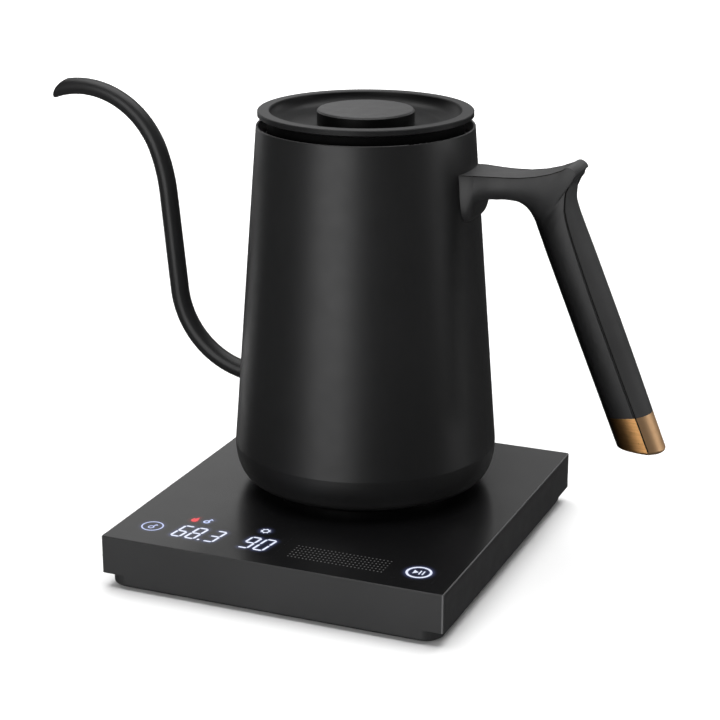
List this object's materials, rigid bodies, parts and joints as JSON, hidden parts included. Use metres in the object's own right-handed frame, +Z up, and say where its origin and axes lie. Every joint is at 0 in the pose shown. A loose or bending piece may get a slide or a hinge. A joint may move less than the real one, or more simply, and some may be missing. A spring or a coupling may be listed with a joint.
{
  "type": "electric gooseneck kettle",
  "caption": "Gooseneck electric kettle with a lift-off lid and a pistol handle, standing on a square-edged power base with a touch display.",
  "frame": {"origin": "centre of the whole object's footprint box, on the surface the base's feet stand on", "axes": "+Z up; the base's display edge faces -Y; the handle points to +X and the spout to -X; the vessel's axis is at x = 7.4 mm, y = 20 mm"},
  "size_m": [0.277, 0.1628, 0.1867],
  "materials": {
    "base_shell": "matte black",
    "base_tray": "matte black",
    "rubber_feet": "matte",
    "tray_screws": "zinc plated",
    "cord_gland": "matte",
    "base_socket": "satin",
    "base_contacts": "bright",
    "control_board": "solder mask",
    "display_module": "white reflector",
    "touch_electrodes": "copper foil",
    "lock_key_electrode": "copper foil",
    "buzzer": "moulded",
    "power_board": "solder mask",
    "relay": "moulded",
    "film_capacitor": "moulded",
    "transformer": "taped",
    "heat_sink": "anodised",
    "power_triac": "moulded",
    "terminal_block": "moulded",
    "board_screws": "zinc plated",
    "vessel": "matte black outside",
    "spout_tube": "matte black",
    "heating_plate": "stainless",
    "heat_spreader": "milled",
    "heating_element": "brazed",
    "temperature_probe": "stainless",
    "probe_seal": "silicone",
    "thermal_cutout": "stamped",
    "bottom_cover": "matte",
    "bottom_screws": "zinc plated",
    "kettle_plug": "satin",
    "kettle_contacts": "bright",
    "handle_body": "matte black",
    "handle_rear_cover": "matte black",
    "handle_end_cap": "brushed copper bronze",
    "handle_bracket": "pressed",
    "handle_screw": "black oxide",
    "mouth_ledge": "stainless",
    "lid_top": "matte black",
    "lid_knob": "satin black",
    "lid_neck": "black",
    "lid_seal": "silicone",
    "lid_under_plate": "stainless",
    "lid_screws": "stainless",
    "knob_screw": "stainless",
    "shutter_ring": "satin"
  },
  "bodies": {
    "base": {"base_shell": "base_shell", "base_tray": "base_tray", "rubber_feet": "rubber_feet", "tray_screws": "tray_screws", "cord_gland": "cord_gland", "base_socket": "base_socket", "base_contacts": "base_contacts", "control_board": "control_board", "display_module": "display_module", "touch_electrodes": "touch_electrodes", "lock_key_electrode": "lock_key_electrode", "buzzer": "buzzer", "power_board": "power_board", "relay": "relay", "film_capacitor": "film_capacitor", "transformer": "transformer", "heat_sink": "heat_sink", "power_triac": "power_triac", "terminal_block": "terminal_block", "board_screws": "board_screws"},
    "swivel_carrier": {"shutter_ring": "shutter_ring"},
    "kettle": {"vessel": "vessel", "spout_tube": "spout_tube", "heating_plate": "heating_plate", "heat_spreader": "heat_spreader", "heating_element": "heating_element", "temperature_probe": "temperature_probe", "probe_seal": "probe_seal", "thermal_cutout": "thermal_cutout", "bottom_cover": "bottom_cover", "bottom_screws": "bottom_screws", "kettle_plug": "kettle_plug", "kettle_contacts": "kettle_contacts", "handle_body": "handle_body", "handle_rear_cover": "handle_rear_cover", "handle_end_cap": "handle_end_cap", "handle_bracket": "handle_bracket", "handle_screw": "handle_screw", "mouth_ledge": "mouth_ledge"},
    "lid": {"lid_top": "lid_top", "lid_knob": "lid_knob", "lid_neck": "lid_neck", "lid_seal": "lid_seal", "lid_under_plate": "lid_under_plate", "lid_screws": "lid_screws", "knob_screw": "knob_screw"}
  },
  "joints": [
    {"name": "kettle_swivel", "type": "hinge", "parent": "base", "child": "swivel_carrier", "pos_m": [0.0074, 0.02, 0.0223], "axis": [0, 0, 1], "continuous": true},
    {"name": "kettle_lift", "type": "slide", "parent": "swivel_carrier", "child": "kettle", "axis": [0, 0, 1], "range_m": [0, 0.12]},
    {"name": "lid_lift", "type": "slide", "parent": "kettle", "child": "lid", "axis": [0, 0, 1], "range_m": [0, 0.08]}
  ]
}
